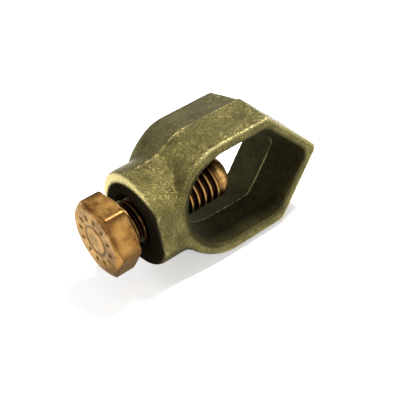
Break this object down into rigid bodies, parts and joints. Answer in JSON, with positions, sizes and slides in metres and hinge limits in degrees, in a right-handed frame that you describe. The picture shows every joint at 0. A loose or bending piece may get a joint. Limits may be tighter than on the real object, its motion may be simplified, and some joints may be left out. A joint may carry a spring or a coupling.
{
  "type": "earth rod clamp",
  "caption": "Cast bronze earth rod clamp: a drafted ring with a V seat, and a hexagon head bolt through a round boss that presses an earth rod into the V.",
  "frame": {"origin": "on the bolt's axis, midway between the two faces, level with the corners of the V seat", "axes": "+X along the bolt from its head to the point of the V, +Y along the earth rod, +Z across the flanks, up"},
  "size_m": [0.0487, 0.0182, 0.0256],
  "materials": {
    "cast_bronze": "as-cast, tumbled",
    "bolt_bronze": "machined, lightly tarnished"
  },
  "bodies": {
    "body": {"clamp_body": "cast_bronze"},
    "bolt": {"clamp_bolt": "bolt_bronze"}
  },
  "joints": [
    {"name": "bolt_travel", "type": "slide", "parent": "body", "child": "bolt", "axis": [1, 0, 0], "range_m": [-0.0127, 0.00159]}
  ]
}
